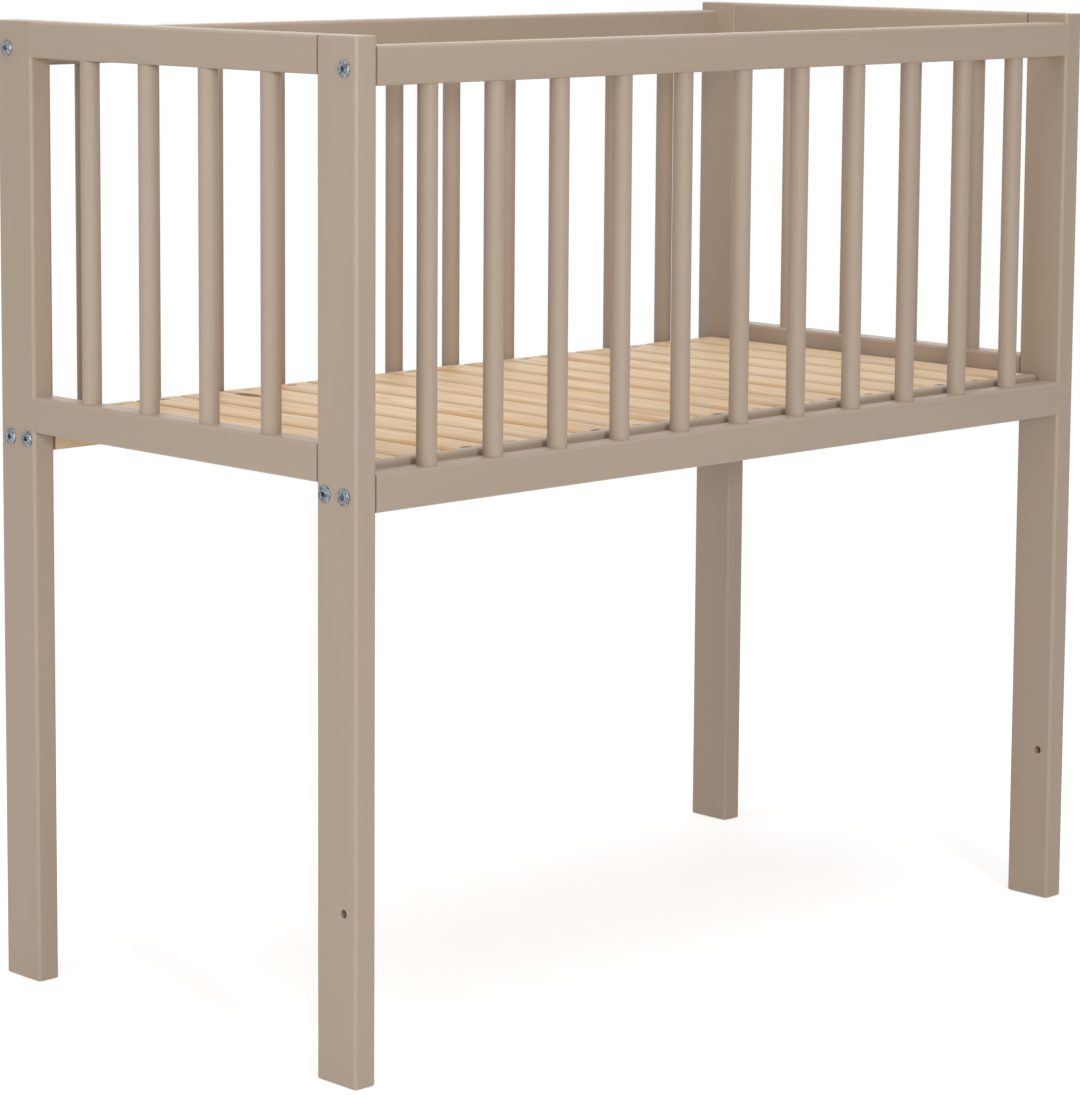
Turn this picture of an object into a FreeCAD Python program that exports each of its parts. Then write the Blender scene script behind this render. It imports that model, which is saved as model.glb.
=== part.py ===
"""Bedside sleeper crib in lacquered wood, with a slatted pine base.

Two glued end panels carry two bolted side panels and the base between them.
X runs along the length, Y across the width with the front side at -Y, Z up.
The origin is on the floor, below the middle of the crib. All sizes are in mm.
"""
import FreeCAD, Part
import os
import re

import Sketcher

V = FreeCAD.Vector
ORIGIN_POINT = (-1, 1)
CENTRE = 3

SIZES = (
    ("outer_length", 860, "over the outer faces of the end panels"),
    ("outer_width", 442, "over the outer faces of the side panels"),
    ("post_height", 800, "floor to the top of the posts"),
    ("post_thickness", 21, "post section along X"),
    ("post_width", 45, "post section along Y"),
    ("arris", 3, "rounding of the long edges of posts and rails"),
    ("end_arris", 1.5, "rounding of the ends of the posts"),
    ("rail_height", 30, "all four rails of the panels"),
    ("rail_thickness", 21, "rails of the side panels"),
    ("side_top_drop", 7.5, "top of the side panels below the top of the posts"),
    ("side_bolt_spacing", 320, "between the bolt axes of a side panel"),
    ("end_rail_rise", 20.5, "lower rail of the end panels above that of the side panels"),
    ("spindle_diameter", 16, "turned spindles"),
    ("tenon_diameter", 10, "turned ends of the spindles"),
    ("tenon_length", 14, "depth to which a spindle enters its rail"),
    ("bore_end_gap", 1, "room left at the bottom of a glued bore"),
    ("glue_gap", 0.05, "radial room of a glued joint"),
    ("side_spindles", 11, "spindles in each side panel"),
    ("side_edge_gap", 52.25, "post to the first spindle of a side panel"),
    ("end_spindles", 4, "spindles in each end panel"),
    ("end_edge_gap", 56.5, "post to the first spindle of an end panel"),
    ("dowel_diameter", 8, "dowels that join the end panels' rails to the posts"),
    ("dowel_depth", 20, "depth of a dowel in the post, and in the rail"),
    ("dowel_spacing", 14, "between the two dowels of a joint"),
    ("bolt_diameter", 6, "shank of the panel bolts"),
    ("bolt_length", 70, "panel bolts, under the head"),
    ("bolt_gap", 0.5, "radial room of a bolt in its bore"),
    ("bolt_offset", 3, "bolt axis inside the middle of a side rail"),
    ("front_bolt_drop", 2, "bolt axis below the middle of a rail, on the front side"),
    ("bolt_tip", 2, "taper at the end of the bolt"),
    ("head_diameter", 13.5, "bolt head"),
    ("head_height", 1.8, "bolt head"),
    ("head_face", 11, "flat face of the bolt head"),
    ("head_rim", 0.7, "straight rim of the bolt head"),
    ("key_width", 4, "across the flats of the hexagon recess"),
    ("key_depth", 2, "depth of the hexagon recess"),
    ("nut_diameter", 9.8, "barrel nut"),
    ("nut_length", 14, "barrel nut"),
    ("nut_gap", 0.1, "radial room of a barrel nut"),
    ("nut_setback", 42, "post to the axis of the barrel nut"),
    ("thread_gap", 0.05, "radial room between bolt and nut"),
    ("nut_slot", 1.2, "width and depth of the slot in the nut"),
    ("base_gap", 2.5, "side panel to the base"),
    ("base_end_gap", 2, "end panel to the base rails"),
    ("base_rail_width", 22, "base rails along Y"),
    ("base_rail_height", 20, "base rails below the slats"),
    ("base_arris", 3, "rounding of the base rails"),
    ("base_lip", 8, "front base rail in front of the slats"),
    ("base_bolt_offset", 1, "bolt axis inside the middle of a base rail"),
    ("slat_thickness", 10, "slats"),
    ("slats", 17, "slats across the base"),
    ("slat_gap", 2, "between two slats"),
    ("slat_margin", 5.5, "end panel to the first slat"),
    ("slat_end_gap", 0.5, "slat to the lip of the front base rail"),
    ("slat_corner", 3, "rounded corners of a slat, seen from above"),
    ("slat_arris", 1.5, "rounded top edges of a slat"),
    ("staple_width", 10, "staples, over the legs"),
    ("staple_wire", 1.2, "staple wire"),
    ("staple_length", 16, "staple legs"),
    ("staple_sink", 0.5, "staple crown below the face of a slat"),
    ("staple_gap", 0.05, "room around the staple wire"),
)

# Sizes that follow from the driving ones.
INNER_LENGTH = "(outer_length - 2 * post_thickness)"
INNER_WIDTH = "(outer_width - 2 * post_width)"
SIDE_TOP_Z = "(post_height - side_top_drop - rail_height)"
SIDE_BOTTOM_Z = f"({SIDE_TOP_Z} - side_bolt_spacing)"
END_TOP_Z = "(post_height - rail_height)"
END_BOTTOM_Z = f"({SIDE_BOTTOM_Z} + end_rail_rise)"
SIDE_SPAN = f"({SIDE_TOP_Z} - {SIDE_BOTTOM_Z} - rail_height)"
END_SPAN = f"({END_TOP_Z} - {END_BOTTOM_Z} - rail_height)"
SIDE_BOLT_Y = "(rail_thickness / 2 + bolt_offset)"
BASE_Y = "(rail_thickness + base_gap)"
BASE_MIDDLE_Y = f"({BASE_Y} + base_rail_width / 2)"
BASE_BOLT_Y = f"({BASE_MIDDLE_Y} + base_bolt_offset)"
BASE_Z = f"({SIDE_BOTTOM_Z} + (rail_height - base_rail_height) / 2)"
SLAT_Z = f"({BASE_Z} + base_rail_height)"
SLAT_PITCH = f"(({INNER_LENGTH} - 2 * slat_margin + slat_gap) / slats)"
SLAT_WIDTH = f"({SLAT_PITCH} - slat_gap)"
SLAT_FRONT = f"({BASE_Y} + base_lip + slat_end_gap)"
SLAT_LENGTH = f"(outer_width - {SLAT_FRONT} - {BASE_Y})"
BOLT_BORE = "(bolt_diameter + 2 * bolt_gap)"
BOLT_BORE_DEPTH = "(bolt_length - post_thickness + bolt_tip)"
NUT_BORE = "(nut_diameter + 2 * nut_gap)"
TENON_BORE = "(tenon_diameter + 2 * glue_gap)"
TENON_BORE_DEPTH = "(tenon_length + bore_end_gap)"
DOWEL_BORE = "(dowel_diameter + 2 * glue_gap)"
DOWEL_BORE_DEPTH = "(dowel_depth + bore_end_gap)"
STAPLE_SLOT = "(staple_wire + 2 * staple_gap)"
STAPLE_REACH = "(staple_sink + staple_length - slat_thickness + bore_end_gap)"
REAR_STAPLE_Y = f"(outer_width - {BASE_MIDDLE_Y})"

doc = FreeCAD.newDocument("bedside_crib")
sheet = doc.addObject("Spreadsheet::Sheet", "sizes")
for row, (name, value, note) in enumerate(SIZES, start=1):
    sheet.set(f"A{row}", name)
    sheet.set(f"B{row}", str(value))
    sheet.setAlias(f"B{row}", name)
    sheet.set(f"C{row}", note)
doc.recompute()
NAMES = {name for name, value, note in SIZES}
nodes = []


def cells(text):
    """Point every size named in an expression at its cell in the sheet."""
    return re.sub(r"[a-z_]+", lambda word: f"sizes.{word[0]}" if word[0] in NAMES else word[0], str(text))


def bind(thing, prop, text):
    """Bind a property to an expression in the names of the sheet."""
    thing.setExpression(prop, cells(text))


def number(text):
    """The present value of an expression in the names of the sheet."""
    return float(sheet.evalExpression(cells(text)))


def count(name):
    """A whole number from the sheet."""
    return int(round(number(name)))


def new_body(label):
    body = doc.addObject("PartDesign::Body", label)
    body.Label = label
    return body


def new_node(label, x, y, z, turn=0):
    """A body that is exported under its label, placed by three expressions."""
    body = new_body(label)
    place(body, x, y, z, turn)
    nodes.append(body)
    return body


def place(thing, x, y, z, turn=0):
    """Place an object by expressions and turn it about Z."""
    thing.Placement = FreeCAD.Placement(V(), FreeCAD.Rotation(V(0, 0, 1), turn))
    bind(thing, "Placement.Base.x", x)
    bind(thing, "Placement.Base.y", y)
    bind(thing, "Placement.Base.z", z)


def new_sketch(body, plane, offset="0"):
    """A sketch on one of the body's own origin planes, moved along its normal."""
    sketch = body.newObject("Sketcher::SketchObject", "Sketch")
    support = next(item for item in body.Origin.OriginFeatures if item.Role == plane)
    sketch.AttachmentSupport = [(support, "")]
    sketch.MapMode = "FlatFace"
    bind(sketch, "AttachmentOffset.Base.z", offset)
    return sketch


def dimension(sketch, kind, places, text):
    """Add a dimension bound to an expression."""
    index = sketch.addConstraint(Sketcher.Constraint(kind, *places, number(text)))
    sketch.renameConstraint(index, f"size_{index}")
    bind(sketch, f"Constraints.size_{index}", text)


def draw_polygon(sketch, corners):
    """Draw a closed outline with each corner placed by two expressions."""
    points = [V(number(x), number(y), 0) for x, y in corners]
    following = points[1:] + points[:1]
    first = sketch.addGeometry([Part.LineSegment(a, b) for a, b in zip(points, following)], False)[0]
    for step, (x, y) in enumerate(corners):
        line, after = first + step, first + (step + 1) % len(corners)
        sketch.addConstraint(Sketcher.Constraint("Coincident", line, 2, after, 1))
        dimension(sketch, "DistanceX", (*ORIGIN_POINT, line, 1), x)
        dimension(sketch, "DistanceY", (*ORIGIN_POINT, line, 1), y)
    return first


def draw_rectangle(sketch, x0, y0, x1, y1):
    draw_polygon(sketch, ((x0, y0), (x1, y0), (x1, y1), (x0, y1)))


def draw_circle(sketch, x, y, diameter):
    circle = sketch.addGeometry(Part.Circle(V(number(x), number(y), 0), V(0, 0, 1), number(diameter) / 2), False)
    dimension(sketch, "Diameter", (circle,), diameter)
    dimension(sketch, "DistanceX", (*ORIGIN_POINT, circle, CENTRE), x)
    dimension(sketch, "DistanceY", (*ORIGIN_POINT, circle, CENTRE), y)


def pad(body, sketch, length, reverse=False):
    feature = body.newObject("PartDesign::Pad", "Pad")
    feature.Profile = sketch
    feature.Reversed = reverse
    bind(feature, "Length", length)
    doc.recompute()
    return feature


def pocket(body, sketch, depth, reverse=False):
    """Cut against the sketch's normal, or along it when reversed."""
    feature = body.newObject("PartDesign::Pocket", "Pocket")
    feature.Profile = sketch
    feature.Reversed = reverse
    bind(feature, "Length", depth)
    doc.recompute()
    return feature


def repeat(body, feature, axis, span, copies):
    """Repeat a cut along an axis of its own sketch."""
    pattern = body.newObject("PartDesign::LinearPattern", "Pattern")
    pattern.Originals = [feature]
    pattern.Direction = (feature.Profile[0], [axis])
    bind(pattern, "Length", span)
    bind(pattern, "Occurrences", copies)
    body.Tip = pattern
    doc.recompute()


def round_edges(body, radius, chosen):
    """Round the straight or curved edges of the body's last feature that chosen() picks."""
    base = body.Tip
    names = [f"Edge{i}" for i, edge in enumerate(base.Shape.Edges, start=1) if chosen(edge)]
    feature = body.newObject("PartDesign::Fillet", "Rounding")
    feature.Base = (base, names)
    bind(feature, "Radius", radius)
    doc.recompute()


def along(direction):
    """Choose the straight edges that run along a direction."""
    def chosen(edge):
        if not isinstance(edge.Curve, Part.Line):
            return False
        return edge.Curve.Direction.cross(direction).Length < 1e-6
    return chosen


def level(*heights):
    """Choose the edges that lie flat at one of the given heights."""
    def chosen(edge):
        box = edge.BoundBox
        return any(abs(box.ZMin - z) + abs(box.ZMax - z) < 1e-6 for z in heights)
    return chosen


def bolt_drop(front):
    return "front_bolt_drop" if front else "0"


def bolt_heights(front):
    """Heights of the upper and the lower bolts of a side panel."""
    return [f"({rail_z} + rail_height / 2 - {bolt_drop(front)})" for rail_z in (SIDE_TOP_Z, SIDE_BOTTOM_Z)]


def make_post(label, side, front):
    """A post with its outer corner at the body's own origin; a front one has a spare hole near its foot.

    Seen in the body, the outer side is at y = 0. A rear post is turned half a turn.
    """
    x = "-outer_length / 2" if side == "left" else "outer_length / 2 - post_thickness"
    y = "-outer_width / 2" if front else "outer_width / 2"
    if not front:
        x = f"{x} + post_thickness"
    body = new_node(label, x, y, "0", 0 if front else 180)
    section = new_sketch(body, "XY_Plane")
    draw_rectangle(section, "0", "0", "post_thickness", "post_width")
    pad(body, section, "post_height")
    round_edges(body, "arris", along(V(0, 0, 1)))
    round_edges(body, "end_arris", level(0, number("post_height")))

    bolts = new_sketch(body, "YZ_Plane")
    upper, lower = bolt_heights(front)
    draw_circle(bolts, SIDE_BOLT_Y, upper, BOLT_BORE)
    draw_circle(bolts, SIDE_BOLT_Y, lower, BOLT_BORE)
    draw_circle(bolts, BASE_BOLT_Y, lower, BOLT_BORE)
    if front:
        draw_circle(bolts, SIDE_BOLT_Y, f"{lower} - side_bolt_spacing", BOLT_BORE)
    pocket(body, bolts, "post_thickness", reverse=True)

    dowels = new_sketch(body, "XZ_Plane", "-post_width")
    for rail_z in (END_TOP_Z, END_BOTTOM_Z):
        for sign in "+-":
            z = f"{rail_z} + rail_height / 2 {sign} dowel_spacing / 2"
            draw_circle(dowels, "post_thickness / 2", z, DOWEL_BORE)
    pocket(body, dowels, DOWEL_BORE_DEPTH, reverse=True)


def bore_ends(body, length, y, z_list, diameter, depth):
    """Bore both ends of a bar that runs along its own X axis."""
    for offset, inward in (("0", True), (length, False)):
        sketch = new_sketch(body, "YZ_Plane", offset)
        for z in z_list:
            draw_circle(sketch, y, z, diameter)
        pocket(body, sketch, depth, reverse=inward)


def bore_nuts(body, y, z, first, last):
    """Bore a bar from below for its two barrel nuts."""
    sketch = new_sketch(body, "XY_Plane")
    for x in (first, last):
        draw_circle(sketch, x, y, NUT_BORE)
    pocket(body, sketch, f"{z} + nut_length / 2", reverse=True)


def make_bar(body, length, width, height):
    """A bar along the body's own X axis."""
    section = new_sketch(body, "YZ_Plane")
    draw_rectangle(section, "0", "0", width, height)
    pad(body, section, length)


def bore_tenons(body, length, width, edge_gap, copies, upper):
    """Bore a rail for its spindles, from below in an upper rail."""
    sketch = new_sketch(body, "XY_Plane", "0" if upper else "rail_height")
    draw_circle(sketch, f"{edge_gap} + spindle_diameter / 2", f"{width} / 2", TENON_BORE)
    bore = pocket(body, sketch, TENON_BORE_DEPTH, reverse=upper)
    repeat(body, bore, "H_Axis", f"{length} - 2 * {edge_gap} - spindle_diameter", copies)


def make_side_rail(label, front, upper):
    """A rail of a side panel, bolted between two posts."""
    z = SIDE_TOP_Z if upper else SIDE_BOTTOM_Z
    x, y, turn = f"-{INNER_LENGTH} / 2", "-outer_width / 2", 0
    if not front:
        x, y, turn = f"{INNER_LENGTH} / 2", "outer_width / 2", 180
    body = new_node(label, x, y, z, turn)
    make_bar(body, INNER_LENGTH, "rail_thickness", "rail_height")
    round_edges(body, "arris", along(V(1, 0, 0)))
    z = f"(rail_height / 2 - {bolt_drop(front)})"
    bore_ends(body, INNER_LENGTH, SIDE_BOLT_Y, [z], BOLT_BORE, BOLT_BORE_DEPTH)
    bore_nuts(body, SIDE_BOLT_Y, z, "nut_setback", f"{INNER_LENGTH} - nut_setback")
    bore_tenons(body, INNER_LENGTH, "rail_thickness", "side_edge_gap", "side_spindles", upper)


def make_end_rail(label, side, upper):
    """A rail of an end panel, dowelled and glued between two posts."""
    x = "post_thickness - outer_length / 2" if side == "left" else "outer_length / 2"
    z = END_TOP_Z if upper else END_BOTTOM_Z
    body = new_node(label, x, f"-{INNER_WIDTH} / 2", z, 90)
    make_bar(body, INNER_WIDTH, "post_thickness", "rail_height")
    round_edges(body, "arris", along(V(1, 0, 0)))
    heights = [f"rail_height / 2 {sign} dowel_spacing / 2" for sign in "+-"]
    bore_ends(body, INNER_WIDTH, "post_thickness / 2", heights, DOWEL_BORE, DOWEL_BORE_DEPTH)
    bore_tenons(body, INNER_WIDTH, "post_thickness", "end_edge_gap", "end_spindles", upper)


def turn_spindle(body, span):
    """A round spindle with a smaller tenon at each end; its lower shoulder is at z = 0."""
    sketch = new_sketch(body, "XZ_Plane")
    shoulder, tenon = "spindle_diameter / 2", "tenon_diameter / 2"
    draw_polygon(sketch, (
        ("0", "-tenon_length"),
        (tenon, "-tenon_length"),
        (tenon, "0"),
        (shoulder, "0"),
        (shoulder, span),
        (tenon, span),
        (tenon, f"{span} + tenon_length"),
        ("0", f"{span} + tenon_length"),
    ))
    turned = body.newObject("PartDesign::Revolution", "Turning")
    turned.Profile = sketch
    turned.ReferenceAxis = (sketch, ["V_Axis"])
    turned.Angle = 360
    doc.recompute()


def side_spindle_x(index):
    """Place of a side panel's spindle; index counts from the left."""
    pitch = f"({INNER_LENGTH} - 2 * side_edge_gap - spindle_diameter) / (side_spindles - 1)"
    return f"-{INNER_LENGTH} / 2 + side_edge_gap + spindle_diameter / 2 + {index} * {pitch}"


def end_spindle_y(index):
    """Place of an end panel's spindle; index counts from the front."""
    pitch = f"({INNER_WIDTH} - 2 * end_edge_gap - spindle_diameter) / (end_spindles - 1)"
    return f"-{INNER_WIDTH} / 2 + end_edge_gap + spindle_diameter / 2 + {index} * {pitch}"


def make_compound(label, pieces):
    """One node that holds several equal pieces."""
    group = doc.addObject("Part::Compound", label)
    group.Label = label
    group.Links = pieces
    nodes.append(group)


def copy_of(master, x, y, z, turn=0):
    """A placed copy of a piece that is drawn once."""
    link = doc.addObject("App::Link", f"{master.Name}_copy")
    link.LinkedObject = master
    place(link, x, y, z, turn)
    return link


def make_spindles():
    """Spindles of the two side panels and the two end panels."""
    z = f"{SIDE_BOTTOM_Z} + rail_height"
    for index in range(count("side_spindles")):
        label = f"front_spindle_{index + 1:02d}"
        body = new_node(label, side_spindle_x(index), "(rail_thickness - outer_width) / 2", z)
        turn_spindle(body, SIDE_SPAN)
    master = new_body("rear_spindle")
    turn_spindle(master, SIDE_SPAN)
    make_compound("rear_side_spindles", [
        copy_of(master, side_spindle_x(index), "(outer_width - rail_thickness) / 2", z)
        for index in range(count("side_spindles"))
    ])
    for side, sign in (("left", "-"), ("right", "")):
        x = f"{sign}(outer_length - post_thickness) / 2"
        for index in range(count("end_spindles")):
            label = f"{side}_end_spindle_{index + 1}"
            body = new_node(label, x, end_spindle_y(index), f"{END_BOTTOM_Z} + rail_height")
            turn_spindle(body, END_SPAN)


def make_base_rail(label, front):
    """A rail that carries the slats; the front one also hides their ends.

    The body's own y = 0 is the face next to the side panel.
    """
    length = f"({INNER_LENGTH} - 2 * base_end_gap)"
    height = "(base_rail_height + slat_thickness)" if front else "base_rail_height"
    x, y, turn = f"-{length} / 2", f"{BASE_Y} - outer_width / 2", 0
    if not front:
        x, y, turn = f"{length} / 2", f"outer_width / 2 - {BASE_Y}", 180
    body = new_node(label, x, y, BASE_Z, turn)
    make_bar(body, length, "base_rail_width", height)
    if front:
        rebate = new_sketch(body, "YZ_Plane")
        draw_rectangle(rebate, "base_lip", "base_rail_height", "base_rail_width", height)
        pocket(body, rebate, length, reverse=True)
        top = number(height)
        round_edges(body, "base_arris", lambda edge: level(top)(edge) and edge.BoundBox.YMax < 1e-6)
    bolt_y, bolt_z = "(base_rail_width / 2 + base_bolt_offset)", f"(base_rail_height / 2 - {bolt_drop(front)})"
    bore_ends(body, length, bolt_y, [bolt_z], BOLT_BORE, f"{BOLT_BORE_DEPTH} - base_end_gap")
    nut = "nut_setback - base_end_gap"
    bore_nuts(body, bolt_y, bolt_z, nut, f"{length} - ({nut})")

    slots = new_sketch(body, "XY_Plane", "base_rail_height")
    middle = f"slat_margin - base_end_gap + {SLAT_WIDTH} / 2"
    draw_staple_legs(slots, middle, "base_rail_width / 2")
    cut = pocket(body, slots, STAPLE_REACH)
    repeat(body, cut, "H_Axis", f"(slats - 1) * {SLAT_PITCH}", "slats")


def draw_staple_legs(sketch, x, y):
    """The two square slots of a staple, either side of x."""
    for sign in "+-":
        middle = f"{x} {sign} (staple_width - staple_wire) / 2"
        draw_rectangle(sketch, f"{middle} - {STAPLE_SLOT} / 2", f"{y} - {STAPLE_SLOT} / 2",
                       f"{middle} + {STAPLE_SLOT} / 2", f"{y} + {STAPLE_SLOT} / 2")


def make_slat(label, index):
    """A slat across the base, stapled at both ends."""
    x = f"-{INNER_LENGTH} / 2 + slat_margin + {index} * {SLAT_PITCH}"
    body = new_node(label, x, f"{SLAT_FRONT} - outer_width / 2", SLAT_Z)
    outline = new_sketch(body, "XY_Plane")
    draw_rectangle(outline, "0", "0", SLAT_WIDTH, SLAT_LENGTH)
    pad(body, outline, "slat_thickness")
    round_edges(body, "slat_corner", along(V(0, 0, 1)))
    round_edges(body, "slat_arris", level(number("slat_thickness")))
    middle = f"{SLAT_WIDTH} / 2"
    ends = (f"{BASE_MIDDLE_Y} - {SLAT_FRONT}", f"{REAR_STAPLE_Y} - {SLAT_FRONT}")
    grooves = new_sketch(body, "XY_Plane", "slat_thickness")
    legs = new_sketch(body, "XY_Plane", "slat_thickness")
    for y in ends:
        reach = "(staple_width / 2 + staple_gap)"
        draw_rectangle(grooves, f"{middle} - {reach}", f"{y} - {STAPLE_SLOT} / 2",
                       f"{middle} + {reach}", f"{y} + {STAPLE_SLOT} / 2")
        draw_staple_legs(legs, middle, y)
    pocket(body, grooves, "staple_sink + staple_wire")
    pocket(body, legs, "slat_thickness")


def make_staples():
    """A staple at each end of each slat, its crown just below the slat's face."""
    master = new_body("staple")
    sketch = new_sketch(master, "XZ_Plane")
    outer, inner = "staple_width / 2", "(staple_width / 2 - staple_wire)"
    foot, crown = "-staple_length", "-staple_wire"
    draw_polygon(sketch, (
        (f"-{outer}", foot),
        (f"-{inner}", foot),
        (f"-{inner}", crown),
        (inner, crown),
        (inner, foot),
        (outer, foot),
        (outer, "0"),
        (f"-{outer}", "0"),
    ))
    wire = pad(master, sketch, "staple_wire")
    wire.SideType = "Symmetric"
    doc.recompute()
    copies = []
    for index in range(count("slats")):
        x = f"-{INNER_LENGTH} / 2 + slat_margin + {SLAT_WIDTH} / 2 + {index} * {SLAT_PITCH}"
        for y in (BASE_MIDDLE_Y, REAR_STAPLE_Y):
            z = f"{SLAT_Z} + slat_thickness - staple_sink"
            copies.append(copy_of(master, x, f"{y} - outer_width / 2", z))
    make_compound("slat_staples", copies)


def draw_bolt():
    """A bolt along +X with the seat of its head at x = 0."""
    body = new_body("panel_bolt")
    sketch = new_sketch(body, "XY_Plane")
    rim, face, shank = "head_diameter / 2", "head_face / 2", "bolt_diameter / 2"
    draw_polygon(sketch, (
        ("-head_height", "0"),
        ("-head_height", face),
        (f"-(head_height + 2 * head_rim) / 3", f"({face} + 2 * {rim}) / 3"),
        ("-head_rim", rim),
        ("0", rim),
        ("0", shank),
        ("bolt_length - bolt_tip", shank),
        ("bolt_length", f"{shank} - bolt_tip / 2"),
        ("bolt_length", "0"),
    ))
    turned = body.newObject("PartDesign::Revolution", "Turning")
    turned.Profile = sketch
    turned.ReferenceAxis = (sketch, ["H_Axis"])
    turned.Angle = 360
    doc.recompute()
    key = new_sketch(body, "YZ_Plane", "-head_height")
    half = "(key_width / 2)"
    corner = f"({half} / cos(30))"
    draw_polygon(key, (
        (f"-{half}", f"-{corner} / 2"),
        ("0", f"-{corner}"),
        (half, f"-{corner} / 2"),
        (half, f"{corner} / 2"),
        ("0", corner),
        (f"-{half}", f"{corner} / 2"),
    ))
    pocket(body, key, "key_depth", reverse=True)
    return body


def draw_nut():
    """A barrel nut along Z, its threaded bore along X through the origin."""
    body = new_body("barrel_nut")
    outline = new_sketch(body, "XY_Plane", "-nut_length / 2")
    draw_circle(outline, "0", "0", "nut_diameter")
    pad(body, outline, "nut_length")
    thread = new_sketch(body, "YZ_Plane", "-nut_diameter / 2")
    draw_circle(thread, "0", "0", "bolt_diameter + 2 * thread_gap")
    pocket(body, thread, "nut_diameter", reverse=True)
    slot = new_sketch(body, "XY_Plane", "-nut_length / 2")
    draw_rectangle(slot, "-nut_diameter / 2", "-nut_slot / 2", "nut_diameter / 2", "nut_slot / 2")
    pocket(body, slot, "nut_slot", reverse=True)
    return body


def make_fasteners():
    """The bolts of the side panels and the base, with their barrel nuts."""
    bolt, nut = draw_bolt(), draw_nut()
    groups = (
        ("side_panel", f"outer_width / 2 - {SIDE_BOLT_Y}", (0, 1)),
        ("base", f"outer_width / 2 - {BASE_BOLT_Y}", (1,)),
    )
    for group, y, rows in groups:
        bolts, nuts = [], []
        for row in rows:
            for side in "-+":
                turn = 0 if side == "-" else 180
                for sign, front in (("-", True), ("+", False)):
                    z = bolt_heights(front)[row]
                    bolts.append(copy_of(bolt, f"{side}outer_length / 2", f"{sign}({y})", z, turn))
                    nut_x = f"{side}({INNER_LENGTH} / 2 - nut_setback)"
                    nuts.append(copy_of(nut, nut_x, f"{sign}({y})", z))
        make_compound(f"{group}_bolts", bolts)
        make_compound(f"{group}_barrel_nuts", nuts)


def make_dowels():
    """Two dowels in each joint between an end panel's rail and post."""
    master = new_body("dowel")
    outline = new_sketch(master, "XZ_Plane", "-dowel_depth")
    draw_circle(outline, "0", "0", "dowel_diameter")
    pad(master, outline, "2 * dowel_depth")
    for side, sign in (("left", "-"), ("right", "")):
        x = f"{sign}(outer_length - post_thickness) / 2"
        copies = []
        for rail_z in (END_TOP_Z, END_BOTTOM_Z):
            for step in "+-":
                z = f"{rail_z} + rail_height / 2 {step} dowel_spacing / 2"
                for front in "-+":
                    copies.append(copy_of(master, x, f"{front}{INNER_WIDTH} / 2", z))
        make_compound(f"{side}_end_dowels", copies)


for side in ("left", "right"):
    make_post(f"{side}_front_post", side, front=True)
    make_post(f"{side}_rear_post", side, front=False)
    make_end_rail(f"{side}_end_top_rail", side, upper=True)
    make_end_rail(f"{side}_end_bottom_rail", side, upper=False)
for place_name, front in (("front", True), ("rear", False)):
    make_side_rail(f"{place_name}_top_rail", front, upper=True)
    make_side_rail(f"{place_name}_bottom_rail", front, upper=False)
    make_base_rail(f"base_{place_name}_rail", front)
make_spindles()
for index in range(count("slats")):
    make_slat(f"slat_{index + 1:02d}", index)
make_staples()
make_fasteners()
make_dowels()
doc.recompute()

for thing in doc.Objects:
    if "Invalid" in thing.State or "Error" in thing.State:
        raise RuntimeError(f"{thing.Label} failed: {thing.State}")
for node in nodes:
    if node.Shape.isNull() or not node.Shape.isValid():
        raise RuntimeError(f"{node.Label} has no valid shape")
os.makedirs("parts", exist_ok=True)
for node in nodes:
    node.Shape.exportStep(f"parts/{node.Label}.step")
print(f"{len(nodes)} nodes written")
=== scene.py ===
"""Looks of a bedside sleeper crib: taupe lacquered wood, a slatted pine base and zinc-plated bolts."""
import math
import random
from collections import namedtuple

import bpy
from mathutils import Matrix, Vector


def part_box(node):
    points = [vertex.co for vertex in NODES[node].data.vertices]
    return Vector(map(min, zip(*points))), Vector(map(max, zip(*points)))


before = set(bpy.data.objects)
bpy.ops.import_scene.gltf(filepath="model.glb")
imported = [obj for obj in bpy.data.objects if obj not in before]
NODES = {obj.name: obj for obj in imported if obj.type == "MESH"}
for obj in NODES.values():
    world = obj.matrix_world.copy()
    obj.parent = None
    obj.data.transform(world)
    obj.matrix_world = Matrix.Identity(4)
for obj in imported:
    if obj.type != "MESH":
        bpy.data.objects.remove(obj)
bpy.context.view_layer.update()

AXES = {"x": 0, "y": 1, "z": 2}
MM = 0.001
MICRON = 0.000001


def linear(r, g, b):
    """A linear colour from display values of 0 to 255."""
    values = (v / 255 for v in (r, g, b))
    return (*(v / 12.92 if v <= 0.04045 else ((v + 0.055) / 1.055) ** 2.4 for v in values), 1)


LACQUER_DEEP = linear(172, 154, 136)
LACQUER_PALE = linear(178, 160, 143)
# painted highlight of the rounded edges
LACQUER_EDGE_HIGHLIGHT = linear(192, 173, 155)
PINE_YELLOW = linear(240, 218, 180)
PINE_PINK = linear(238, 210, 181)
PINE_CREAM = linear(228, 199, 161)
PINE_WARM = linear(218, 174, 130)
PINE_BLUSH = linear(216, 169, 112)
PINE_RING = linear(206, 157, 104)
# painted shade along a slat's edge, beside the gap to its neighbour
SLAT_EDGE_PAINTED_SHADE = linear(190, 159, 117)
SLAT_EDGE_WARM = linear(207, 158, 98)
# painted shade on the slats' sides, down in the gaps between them
SLAT_SIDE_PAINTED_SHADE = linear(154, 120, 86)
KNOT = linear(122, 72, 42)
# staining of crushed wood round a staple, with the painted shade of its dent
STAPLE_STAIN_AND_SHADE = linear(104, 76, 56)
ZINC_DARK = linear(94, 103, 112)
ZINC_LIGHT = linear(176, 181, 186)
WIRE_DARK = linear(96, 92, 88)
WIRE_LIGHT = linear(132, 128, 122)

IOR = 1.45  # of lacquer and wood


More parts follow.
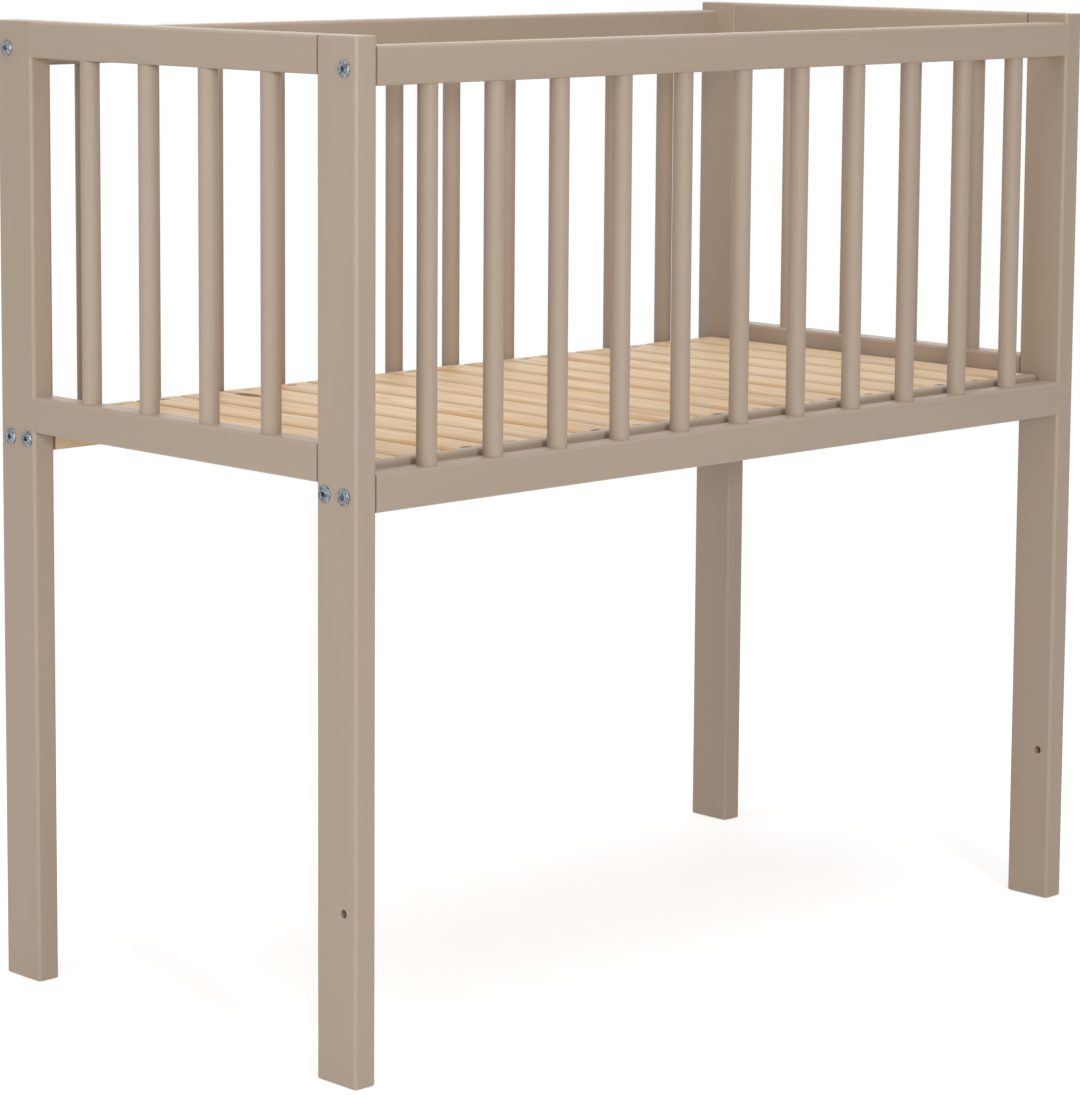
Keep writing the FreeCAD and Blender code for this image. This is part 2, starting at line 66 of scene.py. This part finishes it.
class Shader:
    """A material built with short calls."""

    def __init__(self, name, roughness, specular=0.5, metallic=0.0):
        self.material = bpy.data.materials.new(name)
        self.material.use_nodes = True
        self.tree = self.material.node_tree
        self.surface = self.tree.nodes["Principled BSDF"]
        self.surface.inputs["Roughness"].default_value = roughness
        self.surface.inputs["IOR"].default_value = IOR
        self.surface.inputs["Specular IOR Level"].default_value = specular
        self.surface.inputs["Metallic"].default_value = metallic
        self.position = self.add("TexCoord").outputs["Object"]

    def put(self, socket, value):
        """Link a socket, or set it."""
        if isinstance(value, bpy.types.NodeSocket):
            self.tree.links.new(value, socket)
        else:
            socket.default_value = value

    def add(self, kind, inputs=None, **settings):
        node = self.tree.nodes.new(f"ShaderNode{kind}")
        for key, value in settings.items():
            setattr(node, key, value)
        for key, value in (inputs or {}).items():
            self.put(node.inputs[key], value)
        return node

    def math(self, operation, *values):
        return self.add("Math", dict(enumerate(values)), operation=operation).outputs[0]

    def vector(self, operation, *values):
        node = self.add("VectorMath", dict(enumerate(values)), operation=operation)
        return node.outputs["Value" if operation == "LENGTH" else "Vector"]

    def split(self, vector):
        return self.add("SeparateXYZ", {0: vector}).outputs

    def noise(self, vector, scale, detail, roughness=0.5):
        """Noise round 0, mostly from -1 to 1."""
        inputs = {"Vector": vector, "Scale": scale, "Detail": detail, "Roughness": roughness}
        return self.math("MULTIPLY_ADD", self.add("TexNoise", inputs).outputs[0], 4.0, -2.0)

    def streaks(self, axis, offset, along, across, detail, roughness=0.5, scale=1.0):
        """Noise drawn out along one axis, with so many features to a metre along and across it."""
        features = [across] * 3
        features[AXES[axis]] = along
        mapping = self.add("Mapping", {"Vector": self.position, "Location": offset, "Scale": features})
        return self.noise(mapping.outputs[0], scale, detail, roughness)

    def ramp(self, value, low, high, start=0.0, end=1.0):
        """Map low..high smoothly to start..end."""
        inputs = {"Value": value, "From Min": low, "From Max": high, "To Min": start, "To Max": end}
        return self.add("MapRange", inputs, interpolation_type="SMOOTHSTEP").outputs[0]

    def mix(self, factor, a, b):
        """The colour a, turned to b as far as factor says."""
        return self.add("Mix", {0: factor, 6: a, 7: b}, data_type="RGBA").outputs[2]

    def colour(self, value, *terms):
        """Set the colour, scaled by 1 plus a sum of (signal, amount) terms."""
        total = 1.0
        for signal, amount in terms:
            total = self.math("MULTIPLY_ADD", signal, amount, total)
        scaled = self.add("VectorMath", {0: value, "Scale": total}, operation="SCALE")
        self.put(self.surface.inputs["Base Color"], scaled.outputs["Vector"])

    def roughness(self, value):
        self.put(self.surface.inputs["Roughness"], value)

    def bump(self, *layers):
        """Stack bumps of (height, distance in metres)."""
        normal = None
        for height, distance in layers:
            inputs = {"Height": height, "Distance": distance, "Strength": 1.0}
            if normal:
                inputs["Normal"] = normal
            normal = self.add("Bump", inputs).outputs[0]
        self.put(self.surface.inputs["Normal"], normal)


def seeded_offset(seed):
    """A place in the noise for each piece."""
    rng = random.Random(seed)
    return [rng.uniform(-9, 9) for _ in range(3)]


def lacquer(name, axis, seed):
    """Opaque satin lacquer through which the grain just shows, with a painted highlight that makes it a
    little paler along the edges.
    """
    satin = 0.46
    s = Shader(name, satin, specular=0.45)
    offset = seeded_offset(seed)
    cloud = s.streaks(axis, offset, along=2.2, across=13, detail=3)
    grain = s.streaks(axis, offset, along=16, across=420, detail=4, roughness=0.6)
    fibre = s.streaks(axis, offset, along=60, across=1900, detail=2)
    spray = s.noise(s.position, scale=1300, detail=1)
    colour = s.mix(s.ramp(cloud, -1.2, 1.2), LACQUER_DEEP, LACQUER_PALE)
    edge = 0.0
    if "spindle" not in name:
        facing = s.split(s.vector("ABSOLUTE", s.add("TexCoord").outputs["Normal"]))
        flat = s.math("MAXIMUM", s.math("MAXIMUM", facing[0], facing[1]), facing[2])
        # The edge mask paints a highlight on the rounded edges, where light catches them, and makes the
        # lacquer a little smoother there.
        edge = s.ramp(s.math("MULTIPLY_ADD", grain, 0.02, flat), 0.985, 0.82)
        colour = s.mix(s.math("MULTIPLY", edge, 0.15), colour, LACQUER_EDGE_HIGHLIGHT)
    s.colour(colour, (grain, 0.014), (fibre, 0.008))
    s.roughness(s.math("MULTIPLY_ADD", edge, -0.08, s.math("MULTIPLY_ADD", grain, 0.02, satin)))
    s.bump((grain, 20 * MICRON), (fibre, 4 * MICRON), (spray, 4 * MICRON))
    return s.material


# What a slat's material needs: the slat's left edge, middle and top, how warm its left edge is, how dark the
# staining and painted dent shade at its staples are, and a knot's place or None.
Slat = namedtuple("Slat", "left middle top edge stain knot")

BASE_RAIL_Y = 0.1865  # the middle of the base rails, where the slats are stapled
KNOT_SHAPE = (1, 0.45, 1)  # drawn out along the slat
STAPLE_MARK_SHAPE = (1, 2.2, 0)  # drawn out across the slat


def latewood(s, rng, across, along, middle, ring, sway, from_knot):
    """Rings round a pith that slopes away below the piece, pushed aside by a knot: 1 in the late wood."""
    pith = middle + rng.uniform(-18 * MM, 18 * MM)
    sideways = s.math("ADD", s.math("MULTIPLY_ADD", sway, 4.5 * MM, across), -pith)
    from_peak = s.math("ADD", along, rng.uniform(-0.35, 0.35))
    depth = s.math("MULTIPLY", from_peak, rng.uniform(0.03, 0.09))
    radius = s.math("SQRT", s.math("ADD", s.math("POWER", sideways, 2.0), s.math("POWER", depth, 2.0)))
    if from_knot:
        radius = s.math("MULTIPLY_ADD", s.ramp(from_knot, 30 * MM, 0.0), 6 * MM, radius)
    wave = s.math("SINE", s.math("MULTIPLY", radius, 2 * math.pi / ring))
    return s.ramp(s.math("MULTIPLY_ADD", sway, 0.3, wave), -0.1, 1.15)


def shade_and_warm_long_edge(s, wood, slat, across, sway, offset):
    """Paint shade along a slat's left edge, beside the gap to its neighbour, and warm the wood beside it in
    places.
    """
    edge = s.math("MULTIPLY_ADD", sway, 1.8 * MM, across)
    # Painted shade of the gap, fading out over 15 mm from the left edge.
    wood = s.mix(s.ramp(edge, slat.left + 15 * MM, slat.left + 2 * MM, 0.0, 0.5), wood, SLAT_EDGE_PAINTED_SHADE)
    edge = s.math("MULTIPLY_ADD", sway, 2.2 * MM, across)
    beside = s.ramp(edge, slat.left + 20 * MM, slat.left + 6 * MM)
    comes_and_goes = s.ramp(s.streaks("y", offset, along=13, across=30, detail=1), -0.8, 0.9, 0.12, 1.0)
    warm = s.math("MULTIPLY", s.math("MULTIPLY", beside, comes_and_goes), slat.edge)
    return s.mix(warm, wood, SLAT_EDGE_WARM)


def stain(s, wood, slat, height, fleck):
    """Paint shade on a slat's sides, below its top face, and darken the places of its two staples with
    staining and the painted shade of their dents.
    """
    # Painted shade on the sides, below the top face, down in the gaps.
    below = s.ramp(height, slat.top - 0.1 * MM, slat.top - 0.9 * MM, 0.0, 0.5)
    wood = s.mix(below, wood, SLAT_SIDE_PAINTED_SHADE)
    # Each staple's place: staining of crushed wood, and painted shade of the dent round its crown.
    for y in (-BASE_RAIL_Y, BASE_RAIL_Y):
        from_staple = s.vector("SUBTRACT", s.position, (slat.middle, y, slat.top))
        distance = s.vector("LENGTH", s.vector("MULTIPLY", from_staple, STAPLE_MARK_SHAPE))
        ragged = s.math("MULTIPLY_ADD", fleck, 1.2 * MM, distance)
        wood = s.mix(s.ramp(ragged, 7.8 * MM, 4.8 * MM, 0.0, slat.stain), wood, STAPLE_STAIN_AND_SHADE)
    return wood


def pine(name, axis, seed, middle, warmth=0.5, streak=0.5, ring=5.5 * MM, slat=None):
    """Planed pine: rings, warm streaks and fibres along one axis.

    middle is the piece's place across the grain, warmth and streak say how warm the wood and how strong its
    rings are, ring is the width of a ring, and slat is given for a slat only.
    """
    planed = 0.6
    rng = random.Random(seed)
    s = Shader(name, planed, specular=0.35)
    offset = seeded_offset(seed + 100)
    place = s.split(s.position)
    across = place[AXES["x" if axis == "y" else "y"]]
    along = place[AXES[axis]]
    sway = s.streaks(axis, offset, along=5, across=14, detail=2)
    patch = s.streaks(axis, offset, along=3, across=40, detail=3)
    blush = s.streaks(axis, offset, along=10, across=75, detail=2)
    tint = s.streaks(axis, offset, along=6, across=45, detail=2, scale=1.7)
    fibre = s.streaks(axis, offset, along=18, across=1100, detail=3, roughness=0.65)
    fleck = s.streaks(axis, offset, along=90, across=2600, detail=1)
    from_knot = None
    if slat and slat.knot:
        from_knot = s.vector("MULTIPLY", s.vector("SUBTRACT", s.position, slat.knot), KNOT_SHAPE)
        from_knot = s.vector("LENGTH", from_knot)
    late = latewood(s, rng, across, along, middle, ring, sway, from_knot)

    pale = s.mix(s.ramp(tint, -0.9, 0.9), PINE_YELLOW, PINE_PINK)
    wood = s.mix(s.ramp(patch, -1.2, 1.0), pale, PINE_CREAM)
    warm = s.ramp(patch, 1.0 - 1.6 * warmth, 1.9 - 1.4 * warmth)
    wood = s.mix(s.math("MULTIPLY", warm, 0.7), wood, PINE_WARM)
    wood = s.mix(s.math("MULTIPLY", s.ramp(blush, 0.35, 1.2), 0.25 + 0.5 * warmth), wood, PINE_BLUSH)
    wood = s.mix(s.math("MULTIPLY", late, streak), wood, PINE_RING)
    if slat:
        wood = shade_and_warm_long_edge(s, wood, slat, across, sway, offset)
    if from_knot:
        wood = s.mix(s.math("MULTIPLY", s.ramp(from_knot, 10 * MM, 4 * MM), 0.95), wood, KNOT)
    if slat:
        wood = stain(s, wood, slat, place[AXES["z"]], fleck)
    s.colour(wood, (fibre, 0.035), (fleck, 0.02))
    s.roughness(s.math("MULTIPLY_ADD", late, -0.08, s.math("MULTIPLY_ADD", fibre, 0.03, planed)))
    s.bump((late, 40 * MICRON), (fibre, 15 * MICRON), (fleck, 4 * MICRON))
    return s.material


def metal(name, dark, light, roughness, scale):
    """Plated steel with a slightly blotched surface, and so many blotches to a metre as scale says."""
    s = Shader(name, roughness, metallic=1.0)
    blotch = s.noise(s.position, scale, detail=3)
    fine = s.noise(s.position, scale * 7, detail=1)
    s.colour(s.mix(s.ramp(blotch, -0.7, 1.0), dark, light), (fine, 0.05))
    s.roughness(s.math("MULTIPLY_ADD", blotch, 0.06, roughness))
    s.bump((blotch, 20 * MICRON), (fine, 3 * MICRON))
    return s.material


def dress(material, *names):
    """Give CAD nodes a material all over."""
    for name in names:
        mesh = NODES[name].data
        mesh.materials.clear()
        mesh.materials.append(material)
        mesh.polygons.foreach_set("material_index", [0] * len(mesh.polygons))
        mesh.update()


def dress_lacquered_pieces():
    """Posts, spindles, rails and the front base rail, with the grain along each piece."""
    for index, name in enumerate(sorted(NODES)):
        if name.endswith("_post") or "spindle" in name:
            axis = "z"
        elif "_end_" in name and name.endswith("_rail"):
            axis = "y"
        elif name.endswith("_rail") and name != "base_rear_rail":
            axis = "x"
        else:
            continue
        dress(lacquer(f"lacquer_{name}", axis, index), name)


# Slats, from left to right: how warm the wood is, how strong its rings and how warm its left edge.
SLATS = (
    (0.25, 0.25, 0.3), (0.40, 0.45, 0.2), (0.65, 0.50, 0.9),
    (0.50, 0.45, 0.8), (0.30, 0.40, 0.2), (0.60, 0.55, 0.9),
    (0.35, 0.35, 0.2), (0.65, 0.50, 0.9), (0.40, 0.40, 0.3),
    (0.60, 0.50, 0.7), (0.55, 0.50, 0.8), (0.35, 0.35, 0.2),
    (0.55, 0.45, 0.8), (0.25, 0.30, 0.2), (0.15, 0.25, 0.3),
    (0.30, 0.30, 0.2), (0.20, 0.25, 0.2),
)
DARK_STAPLE_MARK, FAINT_STAPLE_MARK = 0.72, 0.34  # every third slat's staples stand in darker marks of staining and painted dent shade
KNOT_PLACE = (-0.213, 0.161)  # on the joint of the fourth and the fifth slat
KNOT_SLATS = (3, 4)


def dress_slats():
    for index, (warmth, streak, edge) in enumerate(SLATS):
        name = f"slat_{index + 1:02d}"
        low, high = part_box(name)
        middle = (low[0] + high[0]) / 2
        staple_mark_depth = DARK_STAPLE_MARK if index % 3 == 2 else FAINT_STAPLE_MARK
        knot = (*KNOT_PLACE, high[2]) if index in KNOT_SLATS else None
        slat = Slat(low[0], middle, high[2], edge, staple_mark_depth, knot)
        ring = (4.5 + 0.5 * (index * 7 % 5)) * MM
        dress(pine(f"pine_{name}", "y", index, middle, warmth, streak, ring, slat), name)


def dress_all():
    dress_lacquered_pieces()
    dress_slats()
    dress(pine("pine_rear_rail", "x", 40, BASE_RAIL_Y, warmth=0.5, streak=0.4), "base_rear_rail")
    dress(pine("beech_dowel", "y", 60, 0.0, warmth=0.3, streak=0.1), "left_end_dowels", "right_end_dowels")
    dress(metal("zinc_plating", ZINC_DARK, ZINC_LIGHT, roughness=0.24, scale=620),
          "side_panel_bolts", "base_bolts", "side_panel_barrel_nuts", "base_barrel_nuts")
    dress(metal("staple_steel", WIRE_DARK, WIRE_LIGHT, roughness=0.4, scale=900), "slat_staples")


WORLD_FILL = 0.36
FLOOR_GLOW = 0.54  # added to the lit floor where it is seen, which makes it white and keeps its shadow
FLOOR_GREY = 0.88
FLOOR_REACH = 14
FLOOR_GAP = 0.5 * MM
FLOOR_SHAPE = (1.0, 1.3, 0.0)  # the lit part is an ellipse
LIT_RADIUS, WHITE_RADIUS = 0.75, 1.9

# Name, place, what it is aimed at, size in metres and power in watts.
LAMPS = (
    ("top_softbox", (-0.3, -0.2, 3.0), (0, 0, 0.5), (2.6, 2.0), 37),
    ("left_softbox", (-2.7, -0.6, 0.85), (0, 0, 0.4), (2.0, 1.7), 17),
    ("key_softbox", (-1.26, -3.05, 1.12), (0, 0, 0.55), (0.3, 0.3), 27),
    ("camera_softbox", (-2.12, -2.45, 1.03), (0, 0, 0.5), (0.25, 0.25), 4),
    ("back_softbox", (2.4, 2.6, 1.3), (0, 0, 0.4), (2.0, 1.6), 10),
)


def seen_or_mirrored(tree):
    """1 for rays from the camera and from gloss or glass, 0 for light on other surfaces."""
    path = tree.nodes.new("ShaderNodeLightPath")
    result = path.outputs["Is Camera Ray"]
    for ray in ("Is Glossy Ray", "Is Transmission Ray"):
        node = tree.nodes.new("ShaderNodeMath")
        node.operation = "MAXIMUM"
        tree.links.new(result, node.inputs[0])
        tree.links.new(path.outputs[ray], node.inputs[1])
        result = node.outputs[0]
    return result


def make_floor():
    """A pale floor that fades to plain white away from the crib."""
    mesh = bpy.data.meshes.new("floor")
    corners = [(x * FLOOR_REACH, y * FLOOR_REACH, 0) for x, y in ((-1, -1), (1, -1), (1, 1), (-1, 1))]
    mesh.from_pydata(corners, [], [(0, 1, 2, 3)])
    floor = bpy.data.objects.new("floor", mesh)
    bpy.context.collection.objects.link(floor)
    floor.location.z = -FLOOR_GAP
    s = Shader("floor", 0.9, specular=0.0)
    s.surface.inputs["Base Color"].default_value = (FLOOR_GREY, FLOOR_GREY, FLOOR_GREY, 1)
    plain = s.surface.outputs[0]
    seen = seen_or_mirrored(s.tree)
    glow = s.add("Emission", {"Strength": s.math("MULTIPLY", seen, FLOOR_GLOW)}).outputs[0]
    lit = s.add("AddShader", {0: plain, 1: glow}).outputs[0]
    white = s.add("Emission").outputs[0]
    away = s.add("MixShader", {0: seen, 1: plain, 2: white}).outputs[0]
    radius = s.vector("LENGTH", s.vector("MULTIPLY", s.position, FLOOR_SHAPE))
    faded = s.add("MixShader", {0: s.ramp(radius, LIT_RADIUS, WHITE_RADIUS), 1: lit, 2: away}).outputs[0]
    s.put(s.tree.nodes["Material Output"].inputs["Surface"], faded)
    mesh.materials.append(s.material)


def make_world():
    """White where it is seen or mirrored, and a soft even fill for the rest."""
    world = bpy.data.worlds.new("studio")
    bpy.context.scene.world = world
    world.use_nodes = True
    tree = world.node_tree
    back = tree.nodes["Background"]
    back.inputs["Color"].default_value = (1, 1, 1, 1)
    level = tree.nodes.new("ShaderNodeMix")
    level.inputs[2].default_value = WORLD_FILL
    level.inputs[3].default_value = 1.0
    tree.links.new(seen_or_mirrored(tree), level.inputs[0])
    tree.links.new(level.outputs[0], back.inputs["Strength"])


def make_lamp(name, place, target, size, power):
    lamp = bpy.data.lights.new(name, "AREA")
    lamp.shape = "RECTANGLE"
    lamp.size, lamp.size_y = size
    lamp.energy = power
    holder = bpy.data.objects.new(name, lamp)
    bpy.context.collection.objects.link(holder)
    holder.location = place
    holder.rotation_euler = (Vector(target) - Vector(place)).to_track_quat("-Z", "Y").to_euler()


# The photograph's camera: place in metres, angles in degrees, the lens in pixels of a 1080 x 1095 frame.
FRAME_WIDTH, FRAME_HEIGHT = 1080, 1095
FOCAL, CENTRE_X, CENTRE_Y = 3847.3, 440.0, 380.0
YAW, PITCH, ROLL = 47.0582, -7.2883, 0.2118
CAMERA_PLACE = (-2.31498, -2.33805, 0.90806)
SENSOR_WIDTH = 36
CLIP_END = 60


def camera_turn():
    """The camera's rotation from its yaw, pitch and roll."""
    yaw, pitch, roll = (math.radians(angle) for angle in (YAW, PITCH, ROLL))
    forward = Vector((math.cos(pitch) * math.cos(yaw), math.cos(pitch) * math.sin(yaw), math.sin(pitch)))
    level_right = Vector((math.sin(yaw), -math.cos(yaw), 0))
    level_up = level_right.cross(forward)
    right = math.cos(roll) * level_right + math.sin(roll) * level_up
    up = math.cos(roll) * level_up - math.sin(roll) * level_right
    return Matrix((right, up, -forward)).transposed().to_4x4()


def make_camera():
    camera = bpy.data.objects.new("camera", bpy.data.cameras.new("camera"))
    bpy.context.collection.objects.link(camera)
    camera.matrix_world = Matrix.Translation(CAMERA_PLACE) @ camera_turn()
    camera.data.sensor_fit = "HORIZONTAL"
    camera.data.sensor_width = SENSOR_WIDTH
    camera.data.lens = FOCAL / FRAME_WIDTH * SENSOR_WIDTH
    camera.data.shift_x = (FRAME_WIDTH / 2 - CENTRE_X) / FRAME_WIDTH
    camera.data.shift_y = (CENTRE_Y - FRAME_HEIGHT / 2) / FRAME_WIDTH
    camera.data.clip_end = CLIP_END
    bpy.context.scene.camera = camera


dress_all()
make_floor()
make_world()
for lamp in LAMPS:
    make_lamp(*lamp)
make_camera()
bpy.context.scene.view_settings.view_transform = "Standard"
